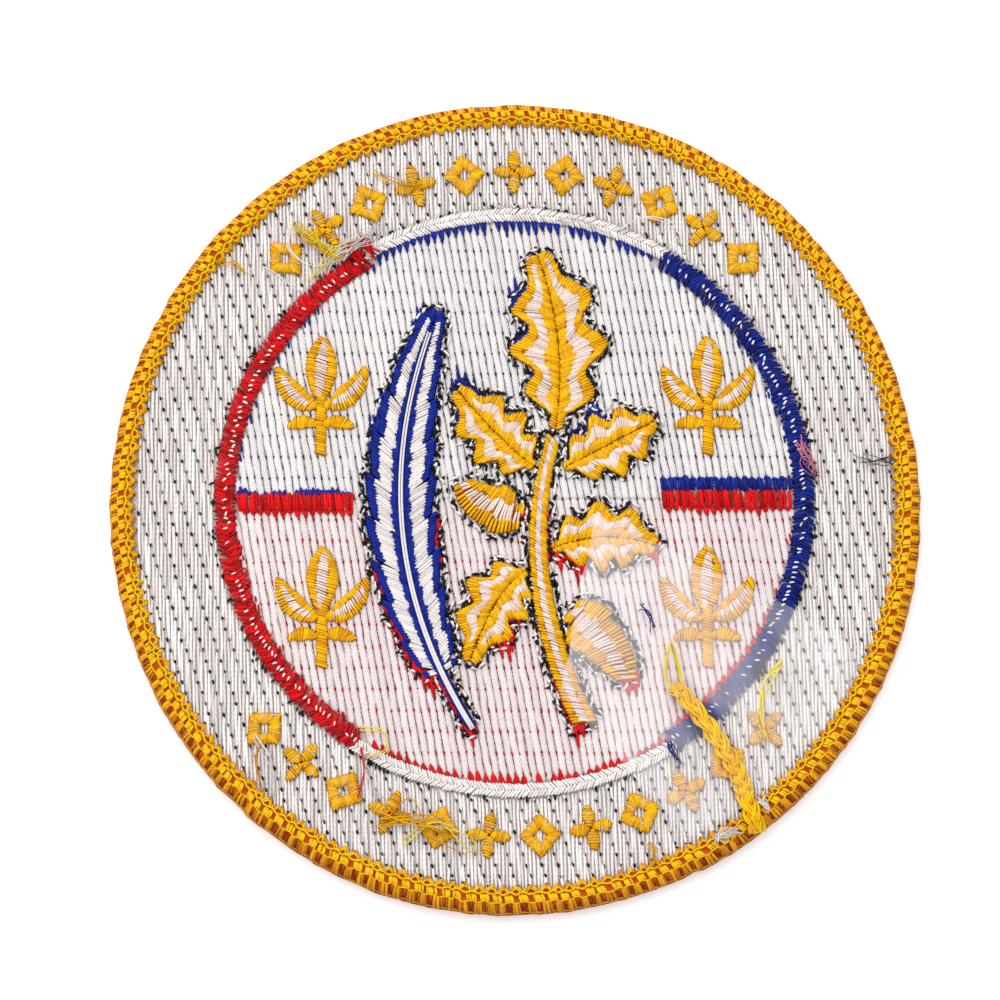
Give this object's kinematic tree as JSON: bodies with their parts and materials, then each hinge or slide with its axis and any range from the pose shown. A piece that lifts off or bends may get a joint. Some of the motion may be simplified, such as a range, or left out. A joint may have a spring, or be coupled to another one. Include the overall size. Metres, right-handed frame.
{
  "type": "embroidered patch",
  "caption": "Round embroidered patch with an overlocked border, lying face down with its stitched back showing.",
  "frame": {"origin": "middle of the patch, on the surface that the border rests on", "axes": "+Z out of the back, up from the surface; +Y to the top of the design; +X to the right, seen from the back"},
  "size_m": [0.09, 0.0916, 0.0036],
  "materials": {
    "backing_cloth": "matt woven twill",
    "white_thread": "soft sheen of spun thread",
    "gold_thread": "bright sheen of rayon thread",
    "red_thread": "bright sheen of rayon thread",
    "blue_thread": "bright sheen of rayon thread",
    "black_thread": "soft sheen of thread",
    "clear_film": "thin milky clear film"
  },
  "bodies": {
    "root": {"ground_cloth": "backing_cloth", "merrow_border": "gold_thread", "oak_stem": "gold_thread", "oak_leaf_1": "gold_thread", "oak_leaf_2": "gold_thread", "oak_leaf_3": "gold_thread", "oak_leaf_4": "gold_thread", "oak_leaf_5": "gold_thread", "acorn_1": "gold_thread", "acorn_2": "gold_thread", "sprig_1": "gold_thread", "sprig_2": "gold_thread", "sprig_3": "gold_thread", "sprig_4": "gold_thread", "top_ornament_1": "gold_thread", "top_ornament_2": "gold_thread", "top_ornament_3": "gold_thread", "top_ornament_4": "gold_thread", "top_ornament_5": "gold_thread", "top_ornament_6": "gold_thread", "top_ornament_7": "gold_thread", "top_ornament_8": "gold_thread", "top_ornament_9": "gold_thread", "top_ornament_10": "gold_thread", "top_ornament_11": "gold_thread", "bottom_ornament_1": "gold_thread", "bottom_ornament_2": "gold_thread", "bottom_ornament_3": "gold_thread", "bottom_ornament_4": "gold_thread", "bottom_ornament_5": "gold_thread", "bottom_ornament_6": "gold_thread", "bottom_ornament_7": "gold_thread", "bottom_ornament_8": "gold_thread", "bottom_ornament_9": "gold_thread", "bottom_ornament_10": "gold_thread", "bottom_ornament_11": "gold_thread", "bottom_ornament_12": "gold_thread", "border_tail": "gold_thread", "face_figure": "gold_thread", "face_sprigs": "gold_thread", "face_ornaments": "gold_thread", "band_fill": "white_thread", "upper_field": "white_thread", "lower_field": "white_thread", "ring_white_top": "white_thread", "ring_white_bottom": "white_thread", "face_ring": "white_thread", "face_feather": "white_thread", "ring_red": "red_thread", "stripe_left": "red_thread", "stripe_right_red": "red_thread", "face_lower_field": "red_thread", "ring_blue": "blue_thread", "stripe_right_blue": "blue_thread", "feather": "blue_thread", "face_upper_field": "blue_thread", "face_band": "black_thread", "tail_tape": "clear_film"}
  },
  "joints": []
}
